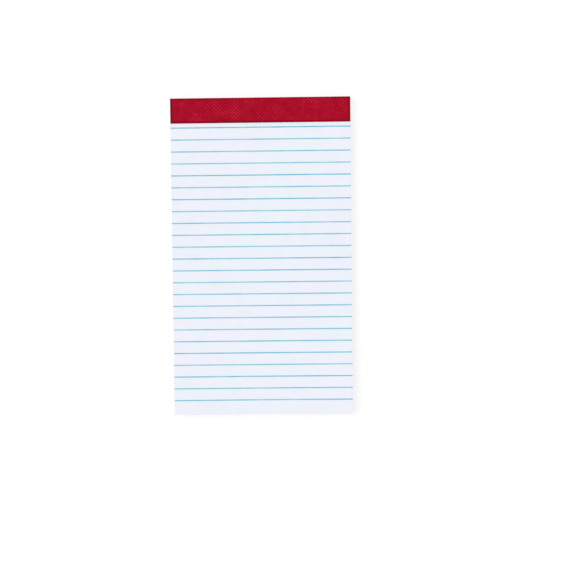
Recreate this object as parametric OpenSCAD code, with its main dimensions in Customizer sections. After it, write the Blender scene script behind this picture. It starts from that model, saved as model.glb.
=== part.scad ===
// Memo pad: ruled sheets on a chipboard back, stapled through the head and bound with a folded tape.
// The pad lies on its back: X runs across it, +Y points to the bound head, +Z out of the writing face.
// The origin is under the middle of the pad, on the surface that it lies on. Sizes are in millimetres.

/* [Sheets] */
// Width of a sheet
sheet_w = 107.95; // [70:0.05:220]
// Length of a sheet, from head to tail
sheet_l = 190.5; // [120:0.5:360]
// Number of sheets
sheet_count = 50; // [20:1:100]
// Thickness of one sheet
sheet_t = 0.09; // [0.06:0.01:0.16]

/* [Perforation] */
// Distance from the tape's front edge to the row of slits
slit_gap = 0.9; // [0.5:0.1:1.5]
// Length of one slit
slit_l = 1; // [0.5:0.1:2]
// Width of one slit
slit_w = 0.12; // [0.08:0.02:0.3]
// Paper left between two slits
slit_tie = 0.6; // [0.3:0.1:1]

/* [Ruling] */
// Distance from the tape's front edge to the first line
first_line_gap = 2.7; // [2:0.1:20]
// Distance from one line to the next
line_pitch = 7.144; // [5:0.001:10]
// Width of a printed line
line_w = 0.7; // [0.2:0.05:1]
// Thickness of the ink film
ink_t = 0.03; // [0.01:0.01:0.05]
// Least blank paper below the last line
tail_margin = 8; // [4:0.5:20]

/* [Backing board] */
// Thickness of the board
board_t = 0.8; // [0.6:0.1:2]

/* [Binding tape] */
// Depth of the flap on the writing face, from the outside of the fold
front_flap = 15; // [12:0.5:30]
// Depth of the flap on the back, from the outside of the fold
back_flap = 15; // [12:0.5:30]
// Thickness of the tape
tape_t = 0.2; // [0.1:0.05:0.4]
// Depth to which the glued flap is pressed into the board
tape_bed = 0.05; // [0.01:0.01:0.08]

/* [Staples] */
// Outside width of the crown
crown_w = 12; // [8:0.5:16]
// Gap between the two clinched ends
clinch_gap = 3; // [1:0.5:5]
// Inside radius of the wire's bends
bend_r = 0.3; // [0.2:0.05:0.5]
// Thickness of the wire
wire_t = 0.5; // [0.3:0.05:0.6]
// Width of the wire
wire_w = 0.7; // [0.4:0.05:1]
// Distance from the head of the sheets to the middle of the wire
staple_inset = 7.5; // [3:0.5:10]
// Distance from the side of the sheets to the middle of a staple
staple_side = 27; // [12:0.5:28]
// Room around the wire in the paper and the board
wire_room = 0.02; // [0.01:0.01:0.1]

/* [Hidden] */
$fn = 64;

// Past this much, a cut runs clear of the face that it opens
clear = 1;

// Levels, from the surface that the pad lies on
board_z = tape_t - tape_bed;
sheets_z = board_z + board_t;
face_z = sheets_z + sheet_count * sheet_t;

// Places along the pad, from its tail to its head, and across it
pad_l = sheet_l + tape_t;
tail_y = -pad_l / 2;
head_y = tail_y + sheet_l;
front_edge_y = pad_l / 2 - front_flap;
back_edge_y = pad_l / 2 - back_flap;
slits_y = front_edge_y - slit_gap;
first_line_y = front_edge_y - first_line_gap;
staple_x = sheet_w / 2 - staple_side;
staple_y = head_y - staple_inset;

slit_pitch = slit_l + slit_tie;
slit_count = floor((sheet_w - slit_tie) / slit_pitch);
line_count = 1 + floor((first_line_y - tail_y - tail_margin) / line_pitch);

// A centred rectangle with round corners
module round_rect(w, h, r) {
    square([w - 2 * r, h], center = true);
    square([w, h - 2 * r], center = true);
    for (side = [-1, 1], end = [-1, 1])
        translate([side * (w / 2 - r), end * (h / 2 - r)])
            circle(r = r);
}

// A closed staple seen along the pad, with its clinched ends turned inwards; room widens it on every side
module staple_outline(room = 0) {
    staple_h = face_z - tape_t;
    inset = wire_t + room;
    gap = clinch_gap - 2 * room;
    difference() {
        round_rect(crown_w + 2 * room, staple_h + 2 * room, bend_r + inset);
        round_rect(crown_w - 2 * inset, staple_h - 2 * inset, bend_r - room);
        translate([-gap / 2, -staple_h / 2 - clear])
            square([gap, inset + clear]);
    }
}

// Both staples in place, or with room around them the cuts that they sit in
module staple_pair(room = 0) {
    for (side = [-1, 1])
        translate([side * staple_x, staple_y, (face_z + tape_t) / 2])
            rotate([90, 0, 0])
                linear_extrude(wire_w + 2 * room, center = true)
                    staple_outline(room);
}

// The row of slits at which a sheet tears off
module slits() {
    for (i = [0 : slit_count - 1])
        translate([(i - (slit_count - 1) / 2) * slit_pitch, slits_y, (sheets_z + face_z) / 2])
            cube([slit_l, slit_w, face_z - sheets_z + 2 * clear], center = true);
}

module sheets() {
    color("#eef1fa")
        difference() {
            translate([-sheet_w / 2, tail_y, sheets_z])
                cube([sheet_w, sheet_l, face_z - sheets_z]);
            slits();
            staple_pair(wire_room);
        }
}

module ruled_lines() {
    color("#89c6dc")
        for (i = [0 : line_count - 1])
            translate([-sheet_w / 2, first_line_y - i * line_pitch - line_w / 2, face_z])
                cube([sheet_w, line_w, ink_t]);
}

// The board, with the shallow bed that the back flap is pressed into
module backing_board() {
    color("#a3968a")
        difference() {
            translate([-sheet_w / 2, tail_y, board_z])
                cube([sheet_w, sheet_l, board_t]);
            translate([-sheet_w / 2 - clear, back_edge_y, tape_t - clear])
                cube([sheet_w + 2 * clear, back_flap + clear, clear]);
            staple_pair(wire_room);
        }
}

// One round fold of the tape, about the edge that it is folded over
module fold(z, turn) {
    translate([head_y, z])
        rotate(turn)
            intersection() {
                circle(r = tape_t);
                square(tape_t);
            }
}

// The folded tape seen from the side: front flap, spine and back flap
module tape_outline() {
    translate([front_edge_y, face_z])
        square([head_y - front_edge_y, tape_t]);
    fold(face_z, 0);
    translate([head_y, tape_t])
        square([tape_t, face_z - tape_t]);
    fold(tape_t, -90);
    translate([back_edge_y, 0])
        square([head_y - back_edge_y, tape_t]);
}

module binding_tape() {
    color("#a9122b")
        rotate([90, 0, 90])
            linear_extrude(sheet_w, center = true)
                tape_outline();
}

module staples() {
    color("silver")
        staple_pair();
}

sheets();
ruled_lines();
binding_tape();
backing_board();
staples();
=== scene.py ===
"""Looks of a memo pad: ruled white sheets on a chipboard back, bound at the head with embossed red tape.

Lengths are in metres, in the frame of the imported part: X runs across the pad, +Y points to the bound head
and +Z up, out of the writing face.
"""

import math

import bpy
import numpy as np
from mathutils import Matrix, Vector


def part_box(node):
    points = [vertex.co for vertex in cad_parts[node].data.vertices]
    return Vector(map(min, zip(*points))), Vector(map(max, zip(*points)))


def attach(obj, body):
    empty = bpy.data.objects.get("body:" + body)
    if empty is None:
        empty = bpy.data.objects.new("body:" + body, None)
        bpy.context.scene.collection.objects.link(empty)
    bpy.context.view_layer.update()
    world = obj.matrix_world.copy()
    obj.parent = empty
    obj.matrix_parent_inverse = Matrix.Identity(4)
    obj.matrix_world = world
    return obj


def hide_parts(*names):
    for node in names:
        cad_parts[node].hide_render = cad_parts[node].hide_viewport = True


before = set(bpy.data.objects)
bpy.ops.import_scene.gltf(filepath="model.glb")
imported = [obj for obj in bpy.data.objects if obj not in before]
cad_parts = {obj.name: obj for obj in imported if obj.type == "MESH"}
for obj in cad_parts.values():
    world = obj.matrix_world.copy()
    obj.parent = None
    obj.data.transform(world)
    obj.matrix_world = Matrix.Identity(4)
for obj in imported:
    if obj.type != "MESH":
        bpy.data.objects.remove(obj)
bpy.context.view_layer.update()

MM = 0.001

# Decimals that tell two lengths apart
EDGE_DIGITS = 6
GRID_DIGITS = 7

# Places and sizes that the solids give; both flaps of the tape end at the same y
sheets_low, sheets_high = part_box("sheets")
tape_low, tape_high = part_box("binding_tape")
lines_low, lines_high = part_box("ruled_lines")
staples_low, staples_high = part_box("staples")
half_width = sheets_high.x
tail_y = sheets_low.y
head_y = sheets_high.y
board_top = sheets_low.z
face_z = sheets_high.z
tape_t = tape_high.z - face_z
flap_edge_y = tape_low.y
ink_t = lines_high.z - lines_low.z
line_edges = sorted({round(v.co.y, EDGE_DIGITS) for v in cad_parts["ruled_lines"].data.vertices})
line_spans = list(zip(line_edges[0::2], line_edges[1::2]))
line_pitch = (line_edges[-1] - line_edges[1]) / (len(line_spans) - 1)
wire_row = (staples_low.y, staples_high.y)
crown_near = min(abs(v.co.x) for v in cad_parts["staples"].data.vertices)
crown_far = staples_high.x

# Edges that turn by more than this are not shaded smooth
SHARP_DEG = 40

# Sheets, with more rows in the grid of the top one
SHEET_COUNT = 50
SHEET_COLUMNS = 14
SHEET_ROWS = 21
TOP_ROWS = 42
SHEET_SEED = 7
sheet_pitch = (face_z - board_top) / SHEET_COUNT

# Share of a sheet's pitch that is air
SHEET_AIR = 0.06

# How far off true a sheet is cut, and the share that it keeps of the offset of the sheet below
CUT_SCATTER = 0.06 * MM
CUT_DRIFT = 0.7

# How much painted shade the cut edges get, for the gaps between the sheets, and the share that a sheet
# keeps
# # of the difference of the sheet below
TONE_MIDDLE = 0.4
TONE_SCATTER = 0.2
TONE_DRIFT = 0.75

# How far the free sheets stand off flat by fan, wave and lifted corners, and over what lengths
FAN_H = 0.3 * MM
WAVE_H = 0.3 * MM
FREE_REACH = 60 * MM
LEFT_CURL = 0.55 * MM
RIGHT_CURL = 0.4 * MM
CURL_ACROSS = 45 * MM
CURL_ALONG = 56.25 * MM

# Two ripples make the wave, one in patches and one in slanting bands
PATCH_ACROSS = 19 * MM
PATCH_ALONG = 31 * MM
PATCH_SHIFT = 0.6
BAND_ACROSS = 60 * MM
BAND_ALONG = 17 * MM

# Perforation
SLIT_GAP = 0.9 * MM
SLIT_L = 1.0 * MM
SLIT_W = 0.12 * MM
SLIT_TIE = 0.6 * MM
slits_y = flap_edge_y - SLIT_GAP

# Thickness of the staples' wire
WIRE_T = 0.5 * MM

# Ruled lines: how uneven their edges are, as a share of their width, and how much ink each may have
LINE_SEGMENTS = 160
LINE_ROUGHNESS = 0.012
INK_LEAST = 0.3
INK_MOST = 0.7
LINE_SEED = 3

# Tape, with staggered dots pressed into it; DOT_LEAST is the share of the relief that the flattest dot has
EMBOSS_ACROSS = 2.2 * MM
EMBOSS_DOWN = 2.0 * MM
EMBOSS_H = 0.13 * MM
DOT_LEAST = 0.35
FOLD_R = 0.12 * MM
FOLD_STEPS = 5
TAPE_STEP = 0.33 * MM
TAPE_SEED = 5

# Share of the relief that is left on the folds and along the rims, and how far it takes to come back
FOLD_KEEP = 0.25
FOLD_FADE = 1.0 * MM
RIM_KEEP = 0.2
RIM_FADE = 1.7 * MM

# The tape's shade runs from 0 along the rims, over hollows and dots, to 1 on the tops of the highest dots;
# the folds keep a share of it. This is painted light: painted shade on the pressed rims, the folds and the
# hollows, the dots lighter by wear and a painted sheen, and a painted glint on the tops of the highest dots
VALLEY_SHADE = 0.3
DOT_SHADE = 0.8
FOLD_SHADE = 0.5

# Patterns: the range that most of a noise lies in, the part of it that shows as flecks, how far the knife's
# streaks are drawn out upright, and how strongly the lines' ends show
NOISE_RANGE = (0.3, 0.7)
FLECK_RANGE = (0.66, 0.72)
STREAK_SQUEEZE = 0.03
LINE_END_SHARE = 0.25

# Roughness, from the tape's rims to its dots and from the wire's smoothest to its dullest spots
TAPE_ROUGHNESS = (0.62, 0.5)
WIRE_ROUGHNESS = (0.28, 0.42)

# Colours, linear
PAPER_SHADE = (0.846, 0.872, 0.945, 1)
PAPER_LIGHT = (0.868, 0.894, 0.965, 1)
# Painted shade of the cut edges
PAPER_EDGE_SHADE = (0.63, 0.64, 0.67, 1)
INK_THIN = (0.33, 0.655, 0.775, 1)
INK_FULL = (0.13, 0.495, 0.64, 1)
# The tape's reds hold painted light: painted shade on the pressed rims and in the hollows, wear and a
# painted sheen on the dots, and a painted glint on the highest dots
TAPE_PRESSED_RIM_AND_SHADE = (0.19, 0.01, 0.026, 1)
TAPE_HOLLOW_PAINTED_SHADE = (0.27, 0, 0.005, 1)
TAPE_DOT = (0.456, 0.0062, 0.029, 1)
TAPE_PAINTED_GLINT = (0.61, 0.03, 0.075, 1)
BOARD_DARK = (0.25, 0.21, 0.17, 1)
BOARD_LIGHT = (0.42, 0.36, 0.30, 1)
BOARD_FLECK = (0.12, 0.10, 0.09, 1)
STEEL = (0.55, 0.55, 0.57, 1)
WHITE = (1, 1, 1, 1)

# Light and camera
KEY_FROM = Vector((-0.9, 0.3, 1.15))
KEY_ANGLE_DEG = 50
KEY_SHARE = 0.4
FLOOR_SIDE = 12
FLOOR_COLOUR = (0.9, 0.9, 0.9, 1)
FLOOR_SEEN = (0.28, 0.28, 0.28, 1)
FLOOR_GLOW = 0.75
CAMERA_PLACE = Vector((0.02567, 0.01379, 0.70000))
CAMERA_TURN_DEG = (-2.709, 0.836, -0.590)
LENS_MM = 72.05
SENSOR_MM = 36


def ramp(value, start, end):
    """0 up to start and 1 from end on, with a smooth rise between them."""
    share = np.clip((value - start) / (end - start), 0, 1)
    return share * share * (3 - 2 * share)


# Meshes

def shell_faces(keep):
    """Faces of a closed slab over a grid of cells; the upper points are numbered first, row by row."""
    rows, cols = keep.shape
    number = np.arange((rows + 1) * (cols + 1)).reshape(rows + 1, cols + 1)
    below = number.size
    corners = number[:-1, :-1], number[:-1, 1:], number[1:, 1:], number[1:, :-1]
    upper = np.stack(corners, axis=2)[keep]
    lower = upper[:, ::-1] + below
    padded = np.pad(keep, 1)
    beyond = padded[:-2, 1:-1], padded[1:-1, 2:], padded[2:, 1:-1], padded[1:-1, :-2]
    faces = [upper, lower]
    for side in range(4):
        first, second = corners[side], corners[(side + 1) % 4]
        wall = np.stack([first, first + below, second + below, second], axis=2)
        faces.append(wall[keep & ~beyond[side]])
    return np.concatenate(faces)


def make_piece(name, shells, material, attribute):
    """One mesh of closed shells, each with upper points, lower points, kept cells and attribute values."""
    points, faces, values = [], [], []
    count = 0
    for upper, lower, keep, value in shells:
        both = np.concatenate([upper.reshape(-1, 3), lower.reshape(-1, 3)])
        points.append(both)
        faces.append(shell_faces(keep) + count)
        values.append(np.tile(np.broadcast_to(value, upper.shape[:2]).ravel(), 2))
        count += len(both)
    mesh = bpy.data.meshes.new(name)
    mesh.from_pydata(np.concatenate(points).tolist(), [], np.concatenate(faces).tolist())
    mesh.shade_smooth()
    mesh.set_sharp_from_angle(angle=math.radians(SHARP_DEG))
    layer = mesh.attributes.new(attribute, "FLOAT", "POINT")
    layer.data.foreach_set("value", np.concatenate(values).astype(np.float32))
    mesh.materials.append(material)
    piece = bpy.data.objects.new(name, mesh)
    bpy.context.scene.collection.objects.link(piece)
    return piece


# Material helpers

def new_material(name):
    """A material, its node tree and its main shader."""
    material = bpy.data.materials.new(name)
    material.use_nodes = True
    tree = material.node_tree
    return material, tree, tree.nodes["Principled BSDF"]


def set_shine(shader, roughness, specular):
    """Sets how rough a surface is and how strongly it shines."""
    shader.inputs["Roughness"].default_value = roughness
    shader.inputs["Specular IOR Level"].default_value = specular


def add(tree, kind, **inputs):
    """A new shader node; inputs go by name, with a space written as an underscore."""
    node = tree.nodes.new("ShaderNode" + kind)
    for name, value in inputs.items():
        node.inputs[name.replace("_", " ")].default_value = value
    return node


def feed(tree, socket, value):
    """Gives a socket another node's output or a constant."""
    if isinstance(value, bpy.types.NodeSocket):
        tree.links.new(value, socket)
    else:
        socket.default_value = value


def object_place(tree):
    """The place on the part, in its own frame."""
    return add(tree, "TexCoord").outputs["Object"]


def axes(tree, vector):
    """The X, Y and Z of a vector."""
    made = add(tree, "SeparateXYZ")
    tree.links.new(vector, made.inputs["Vector"])
    return made.outputs


def attribute_value(tree, name):
    """The number that the mesh keeps at each point under that name."""
    made = add(tree, "Attribute")
    made.attribute_name = name
    return made.outputs["Fac"]


def calculate(tree, operation, *values):
    """One step of arithmetic."""
    made = add(tree, "Math")
    made.operation = operation
    for socket, value in zip(made.inputs, values):
        feed(tree, socket, value)
    return made.outputs[0]


def product(tree, first, *others):
    """All the values multiplied."""
    for other in others:
        first = calculate(tree, "MULTIPLY", first, other)
    return first


def spread(tree, value, low, high, new_low, new_high):
    """value from one range taken to another."""
    made = add(tree, "MapRange", From_Min=low, From_Max=high, To_Min=new_low, To_Max=new_high)
    tree.links.new(value, made.inputs["Value"])
    return made.outputs["Result"]


def noise(tree, place, grain, detail=3.0, roughness=0.55):
    """Noise whose grain is that long."""
    made = add(tree, "TexNoise", Scale=1 / grain, Detail=detail, Roughness=roughness)
    tree.links.new(place, made.inputs["Vector"])
    return made.outputs["Fac"]


def swing(tree, pattern, reach):
    """A noise as a number from -reach to reach."""
    return spread(tree, pattern, *NOISE_RANGE, -reach, reach)


def colours(tree, value, *stops):
    """Colours by value, each stop a value and its colour."""
    made = add(tree, "ValToRGB")
    elements = made.color_ramp.elements
    while len(elements) < len(stops):
        elements.new(1)
    for element, (place, colour) in zip(elements, stops):
        element.position = place
        element.color = colour
    tree.links.new(value, made.inputs["Fac"])
    return made.outputs["Color"]


def two_tone(tree, pattern, first, second):
    """A noise as a colour between two."""
    return colours(tree, pattern, *zip(NOISE_RANGE, (first, second)))


def blend(tree, factor, first, second, how="MIX"):
    """Two colours mixed by factor. The node repeats its sockets' names, so here they go by number."""
    made = add(tree, "Mix")
    made.data_type = "RGBA"
    made.blend_type = how
    feed(tree, made.inputs[0], factor)
    feed(tree, made.inputs[6], first)
    feed(tree, made.inputs[7], second)
    return made.outputs[2]


def bump(tree, shader, height, distance, strength):
    """Relief in the shading, that deep."""
    made = add(tree, "Bump", Strength=strength, Distance=distance)
    tree.links.new(height, made.inputs["Height"])
    tree.links.new(made.outputs["Normal"], shader.inputs["Normal"])


# Materials

def paper_fibres(tree, shader, place):
    """The fine relief of paper, which shows through the ink as well."""
    bump(tree, shader, noise(tree, place, grain=0.35 * MM, detail=4), distance=0.02 * MM, strength=0.25)


def knife_streaks(tree, place):
    """Faint upright marks that a knife leaves on the cut sides of the stack."""
    upright = add(tree, "VectorMath")
    upright.operation = "MULTIPLY"
    tree.links.new(place, upright.inputs[0])
    upright.inputs[1].default_value = (1, 1, STREAK_SQUEEZE)
    return swing(tree, noise(tree, upright.outputs["Vector"], grain=0.7 * MM, detail=2), reach=0.2)


def line_ends(tree, place):
    """1 where a ruled line crosses the pad and 0 elsewhere along it."""
    first, last = (sum(span) / 2 for span in (line_spans[-1], line_spans[0]))
    line_w = line_spans[0][1] - line_spans[0][0]
    y = axes(tree, place)["Y"]
    turns = calculate(tree, "DIVIDE", calculate(tree, "SUBTRACT", y, first), line_pitch)
    within = calculate(tree, "FRACT", calculate(tree, "ADD", turns, 0.5))
    on_line = calculate(tree, "COMPARE", within, 0.5, line_w / 2 / line_pitch)
    ruled = calculate(tree, "COMPARE", y, (first + last) / 2, (first - last + line_pitch) / 2)
    return calculate(tree, "MULTIPLY", on_line, ruled)


def paper_material():
    """Smooth uncoated white paper with painted shade on its cut edges, which show the ends of the lines."""
    material, tree, shader = new_material("writing_paper")
    place = object_place(tree)
    facing = axes(tree, add(tree, "NewGeometry").outputs["True Normal"])
    sideways = calculate(tree, "ABSOLUTE", facing["X"])
    # The cut edges get painted shade, more the further a face turns sideways
    cut = calculate(tree, "SUBTRACT", 1, calculate(tree, "ABSOLUTE", facing["Z"]))
    clouds = two_tone(tree, noise(tree, place, grain=9 * MM, detail=5), PAPER_SHADE, PAPER_LIGHT)
    edge_shade = calculate(tree, "ADD", attribute_value(tree, "edge_shade"), knife_streaks(tree, place))
    edge_shaded = blend(tree, product(tree, edge_shade, cut), clouds, PAPER_EDGE_SHADE, "MULTIPLY")
    ends = product(tree, line_ends(tree, place), sideways, LINE_END_SHARE)
    tree.links.new(blend(tree, ends, edge_shaded, INK_FULL), shader.inputs["Base Color"])
    set_shine(shader, roughness=0.82, specular=0.1)
    paper_fibres(tree, shader, place)
    return material


def ink_material():
    """Printed ink that took unevenly, from line to line and along each one."""
    material, tree, shader = new_material("line_ink")
    place = object_place(tree)
    patches = swing(tree, noise(tree, place, grain=14 * MM, detail=4), reach=0.5)
    taken = calculate(tree, "ADD", attribute_value(tree, "ink"), patches)
    tree.links.new(colours(tree, taken, (0, INK_THIN), (1, INK_FULL)), shader.inputs["Base Color"])
    set_shine(shader, roughness=0.75, specular=0.1)
    paper_fibres(tree, shader, place)
    return material


def tape_material():
    """Red embossed tape with painted light: painted shade along its pressed cut edges, on the folds and in
    the hollows, and wear, a painted sheen and painted glints on the raised dots.
    """
    material, tree, shader = new_material("embossed_tape")
    place = object_place(tree)
    mottle = swing(tree, noise(tree, place, grain=6 * MM, detail=5), reach=0.11)
    shade = calculate(tree, "ADD", attribute_value(tree, "shade"), mottle)
    # The reds paint shade on the rims, folds and hollows, and sheen and glints on the dots
    reds = (0, TAPE_PRESSED_RIM_AND_SHADE), (VALLEY_SHADE, TAPE_HOLLOW_PAINTED_SHADE), (DOT_SHADE, TAPE_DOT), (1, TAPE_PAINTED_GLINT)
    tree.links.new(colours(tree, shade, *reds), shader.inputs["Base Color"])
    tree.links.new(spread(tree, shade, 0, 1, *TAPE_ROUGHNESS), shader.inputs["Roughness"])
    shader.inputs["Specular IOR Level"].default_value = 0.02
    bump(tree, shader, noise(tree, place, grain=0.12 * MM), distance=0.02 * MM, strength=0.3)
    return material


def board_material():
    """Grey-brown chipboard with fibres and dark flecks."""
    material, tree, shader = new_material("chipboard")
    place = object_place(tree)
    fibres = noise(tree, place, grain=1.5 * MM, detail=6, roughness=0.7)
    pulp = two_tone(tree, fibres, BOARD_DARK, BOARD_LIGHT)
    flecks = spread(tree, noise(tree, place, grain=0.7 * MM, detail=2), *FLECK_RANGE, 0, 1)
    tree.links.new(blend(tree, flecks, pulp, BOARD_FLECK), shader.inputs["Base Color"])
    set_shine(shader, roughness=0.9, specular=0.2)
    bump(tree, shader, noise(tree, place, grain=0.4 * MM, detail=5), distance=0.04 * MM, strength=0.5)
    return material


def steel_material():
    """Drawn steel wire."""
    material, tree, shader = new_material("staple_wire")
    drawn = noise(tree, object_place(tree), grain=0.3 * MM)
    tree.links.new(spread(tree, drawn, *NOISE_RANGE, *WIRE_ROUGHNESS), shader.inputs["Roughness"])
    shader.inputs["Base Color"].default_value = STEEL
    shader.inputs["Metallic"].default_value = 1
    return material


# Grids

def even_lines(low, high, cells):
    """Grid lines that part a length into that many equal cells."""
    return np.linspace(low, high, cells + 1)


def grid_lines(*lists):
    """Grid lines in order, each once."""
    return np.unique(np.round(np.concatenate(lists), GRID_DIGITS))


def span_about(middle, width):
    """Where a span of that width starts and ends."""
    return middle - width / 2, middle + width / 2


def in_span(lines, low, high):
    """Which cells between the grid lines lie inside a span."""
    middles = (lines[:-1] + lines[1:]) / 2
    return (middles > low) & (middles < high)


def cut_cells(xs, ys, spans, row):
    """Which cells the openings at these spans across the sheet take out of one row along it."""
    cut = np.zeros((len(ys) - 1, len(xs) - 1), bool)
    for span in spans:
        cut |= np.outer(in_span(ys, *row), in_span(xs, *span))
    return cut


# Sheets

def lift(x, y, share):
    """How far a sheet stands off flat; share is 0 at the board and 1 at the top sheet."""
    free = ramp(slits_y - y, 0, FREE_REACH)
    patches = np.sin(x / PATCH_ACROSS + PATCH_SHIFT) * np.cos(y / PATCH_ALONG)
    bands = np.cos(x / BAND_ACROSS + y / BAND_ALONG)
    wave = WAVE_H * free * (2 + patches + bands) / 4
    fan = FAN_H * ramp(-y, -flap_edge_y, -tail_y)
    curl = 0
    for side, height in ((-1, LEFT_CURL), (1, RIGHT_CURL)):
        away = np.hypot((x - side * half_width) / CURL_ACROSS, (y - tail_y) / CURL_ALONG)
        curl = curl + height * ramp(-away, -1, 0)
    return share ** 2 * (wave + curl) + share * fan


def slit_spans():
    """Where each slit of the perforation starts and ends across the sheet."""
    pitch = SLIT_L + SLIT_TIE
    count = math.floor((2 * half_width - SLIT_TIE) / pitch)
    middles = (np.arange(count) - (count - 1) / 2) * pitch
    return [span_about(middle, SLIT_L) for middle in middles]


def staple_spans():
    """Where the staples' crowns, and then their legs, start and end across the sheet."""
    crowns = [(-crown_far, -crown_near), (crown_near, crown_far)]
    legs = [leg for low, high in crowns for leg in ((low, low + WIRE_T), (high - WIRE_T, high))]
    return crowns, legs


def sheet_shells():
    """Every sheet with its staple holes, cut a little off its neighbours away from the head.

    Only the top sheet has its slits, because those of the others are never seen.
    """
    random = np.random.default_rng(SHEET_SEED)
    slits = slit_spans()
    slit_row = span_about(slits_y, SLIT_W)
    crowns, legs = staple_spans()
    plain_xs = grid_lines(even_lines(-half_width, half_width, SHEET_COLUMNS), np.ravel(legs))
    plain_ys = grid_lines(even_lines(tail_y, head_y, SHEET_ROWS), wire_row)
    top_xs = grid_lines(plain_xs, np.ravel(slits))
    top_ys = grid_lines(even_lines(tail_y, head_y, TOP_ROWS), wire_row, slit_row)
    shares = np.cumsum(random.exponential(1, SHEET_COUNT))
    shares /= shares[-1]
    off = np.zeros(2)
    edge_shade = 0
    shells = []
    for i in range(SHEET_COUNT):
        top_one = i == SHEET_COUNT - 1
        xs, ys = (top_xs, top_ys) if top_one else (plain_xs, plain_ys)
        under_crown = (SHEET_COUNT - i - 1) * sheet_pitch >= WIRE_T
        cut = cut_cells(xs, ys, legs if under_crown else crowns, wire_row)
        if top_one:
            cut |= cut_cells(xs, ys, slits, slit_row)
        off = CUT_DRIFT * off + random.uniform(-CUT_SCATTER, CUT_SCATTER, 2)
        # The painted shade of this sheet's cut edges, which differs at random from that of the sheet below
        edge_shade = TONE_DRIFT * edge_shade + random.normal(0, TONE_SCATTER)
        x, y = np.meshgrid(xs, ys)
        z = board_top + i * sheet_pitch + lift(x, y, shares[i])
        from_head = (head_y - y) / (head_y - tail_y)
        lower = np.stack([x + off[0], y + off[1] * from_head, z], axis=2)
        upper = lower + [0, 0, sheet_pitch * (1 - SHEET_AIR)]
        shells.append((upper, lower, ~cut, np.clip(TONE_MIDDLE + edge_shade, 0, 1)))
    return shells


# Ruled lines

def line_shells():
    """The printed lines on the top sheet, with slightly uneven edges and each with its own depth of ink."""
    random = np.random.default_rng(LINE_SEED)
    xs = even_lines(-half_width, half_width, LINE_SEGMENTS)
    bed = face_z - sheet_pitch * SHEET_AIR
    shells = []
    for low, high in line_spans:
        x, y = np.meshgrid(xs, [low, high])
        y = y + random.normal(0, LINE_ROUGHNESS * (high - low), y.shape)
        lower = np.stack([x, y, bed + lift(x, y, 1)], axis=2)
        ink = random.uniform(INK_LEAST, INK_MOST)
        shells.append((lower + [0, 0, ink_t], lower, np.ones((1, LINE_SEGMENTS), bool), ink))
    return shells


# Tape

def stretch(start, end):
    """Points along a straight stretch of the tape, without its end."""
    start, end = np.array(start), np.array(end)
    count = max(2, round(np.linalg.norm(end - start) / TAPE_STEP))
    return start + (end - start) * np.arange(count)[:, None] / count


def tape_path():
    """Points (y, z) of the tape's inner face, with the outward direction at each.

    They run from the front flap's edge over the head to the back flap's edge.
    """
    fold_y = head_y - FOLD_R
    top, bottom = face_z, tape_t
    turns = np.radians(np.linspace(90, 0, FOLD_STEPS + 1))[:-1]
    over = np.stack([np.cos(turns), np.sin(turns)], axis=1)
    under = np.stack([np.sin(turns), -np.cos(turns)], axis=1)
    front = stretch((flap_edge_y, top), (fold_y, top))
    spine = stretch((head_y, top - FOLD_R), (head_y, bottom + FOLD_R))
    rear = stretch((fold_y, bottom), (flap_edge_y, bottom))
    points = [
        front,
        (fold_y, top - FOLD_R) + FOLD_R * over,
        spine,
        (fold_y, bottom + FOLD_R) + FOLD_R * under,
        rear,
        [(flap_edge_y, bottom)],
    ]
    outward = [
        np.tile((0, 1), (len(front), 1)),
        over,
        np.tile((1, 0), (len(spine), 1)),
        under,
        np.tile((0, -1), (len(rear) + 1, 1)),
    ]
    return np.concatenate(points), np.concatenate(outward)


def dot_depths(x, along):
    """How much of the full relief each dot, and each hollow between the dots, has of its own."""
    random = np.random.default_rng(TAPE_SEED)
    column = np.rint(2 * x / EMBOSS_ACROSS).astype(int)
    column -= column.min()
    row = np.rint(2 * along / EMBOSS_DOWN).astype(int)
    return random.uniform(DOT_LEAST, 1, (row.max() + 1, column.max() + 1))[row, column]


def tape_shells():
    """The tape, folded over the head. The dots pressed into its outer face fade at folds and rims."""
    path, outward = tape_path()
    run = np.concatenate([[0], np.cumsum(np.linalg.norm(np.diff(path, axis=0), axis=1))])
    xs = even_lines(-half_width, half_width, round(2 * half_width / TAPE_STEP))
    x, along = np.meshgrid(xs, run)
    flap = head_y - flap_edge_y
    dots = np.cos(2 * np.pi * x / EMBOSS_ACROSS) * np.cos(2 * np.pi * along / EMBOSS_DOWN)
    dots *= dot_depths(x, along)
    to_fold = np.minimum(abs(along - flap), abs(run[-1] - along - flap))
    to_edge = np.minimum(np.minimum(along, run[-1] - along), half_width - abs(x))
    off_fold = ramp(to_fold, 0, FOLD_FADE)
    off_rim = ramp(to_edge, 0, RIM_FADE)
    pressed = np.interp(off_fold, (0, 1), (FOLD_KEEP, 1)) * np.interp(off_rim, (0, 1), (RIM_KEEP, 1))
    thickness = tape_t - EMBOSS_H * pressed * (1 - dots) / 2
    inner = np.stack([x, *(np.broadcast_to(c[:, None], x.shape) for c in path.T)], axis=2)
    away = np.stack([np.zeros(len(path)), *outward.T], axis=1)
    outer = inner + away[:, None, :] * thickness[:, :, None]
    # Painted light for the colour: painted shade in the hollows, on the folds and along the pressed rims,
    # and a painted sheen on the dots
    dot_shade = np.interp(dots * pressed, (-1, 1), (VALLEY_SHADE, 1))
    shade = dot_shade * np.interp(off_fold, (0, 1), (FOLD_SHADE, 1)) * off_rim
    return [(outer, inner, np.ones((len(run) - 1, len(xs) - 1), bool), shade)]


# Stage

def seen_rays(tree):
    """1 for rays that show the background: the camera's own, and those that a mirror or glass passes on."""
    path = add(tree, "LightPath")
    mirrored = calculate(tree, "MAXIMUM", path.outputs["Is Camera Ray"], path.outputs["Is Glossy Ray"])
    return calculate(tree, "MAXIMUM", mirrored, path.outputs["Is Transmission Ray"])


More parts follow.
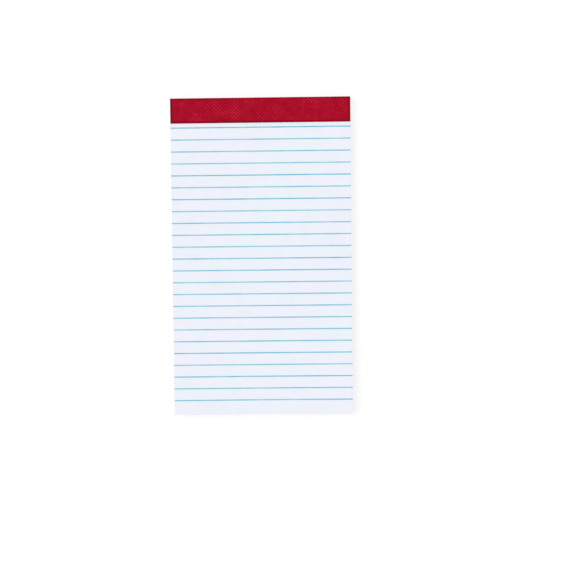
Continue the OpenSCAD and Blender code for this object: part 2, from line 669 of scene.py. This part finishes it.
def make_floor():
    """A white floor that keeps the pad's shadow."""
    side = FLOOR_SIDE / 2
    corners = [(-side, -side, 0), (side, -side, 0), (side, side, 0), (-side, side, 0)]
    mesh = bpy.data.meshes.new("floor")
    mesh.from_pydata(corners, [], [(0, 1, 2, 3)])
    material, tree, shader = new_material("floor")
    seen = seen_rays(tree)
    tree.links.new(blend(tree, seen, FLOOR_COLOUR, FLOOR_SEEN), shader.inputs["Base Color"])
    tree.links.new(product(tree, seen, FLOOR_GLOW), shader.inputs["Emission Strength"])
    shader.inputs["Emission Color"].default_value = WHITE
    set_shine(shader, roughness=1, specular=0)
    mesh.materials.append(material)
    floor = bpy.data.objects.new("floor", mesh)
    bpy.context.scene.collection.objects.link(floor)


def make_light():
    """A broad soft lamp at the upper left and an even surround, which together light a level face fully."""
    lamp = bpy.data.lights.new("key", "SUN")
    lamp.angle = math.radians(KEY_ANGLE_DEG)
    lamp.energy = KEY_SHARE * math.pi / KEY_FROM.normalized().z
    key = bpy.data.objects.new("key", lamp)
    key.location = KEY_FROM
    key.rotation_euler = (-KEY_FROM).to_track_quat("-Z", "Y").to_euler()
    bpy.context.scene.collection.objects.link(key)
    world = bpy.data.worlds.new("surround")
    world.use_nodes = True
    bpy.context.scene.world = world
    tree = world.node_tree
    sky = tree.nodes["Background"]
    sky.inputs["Color"].default_value = WHITE
    tree.links.new(spread(tree, seen_rays(tree), 0, 1, 1 - KEY_SHARE, 1), sky.inputs["Strength"])


def make_camera():
    """A camera over the pad, looking almost straight down on it."""
    data = bpy.data.cameras.new("camera")
    data.sensor_width = SENSOR_MM
    data.lens = LENS_MM
    camera = bpy.data.objects.new("camera", data)
    camera.location = CAMERA_PLACE
    camera.rotation_mode = "ZYX"
    camera.rotation_euler = [math.radians(angle) for angle in CAMERA_TURN_DEG]
    bpy.context.scene.collection.objects.link(camera)
    bpy.context.scene.camera = camera


make_camera()
make_light()
make_floor()

dressed = [
    (make_piece("ruled_paper", sheet_shells(), paper_material(), "edge_shade"), "sheets", "writing_paper"),
    (make_piece("printed_lines", line_shells(), ink_material(), "ink"), "ruled_lines", "line_ink"),
    (make_piece("tape", tape_shells(), tape_material(), "shade"), "binding_tape", "embossed_tape"),
]
for piece, node, slot in dressed:
    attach(piece, "root")
    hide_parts(node)

for node, material in (("backing_board", board_material()), ("staples", steel_material())):
    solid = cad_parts[node]
    solid.data.materials.clear()
    solid.data.materials.append(material)

bpy.context.scene.view_settings.view_transform = "Standard"
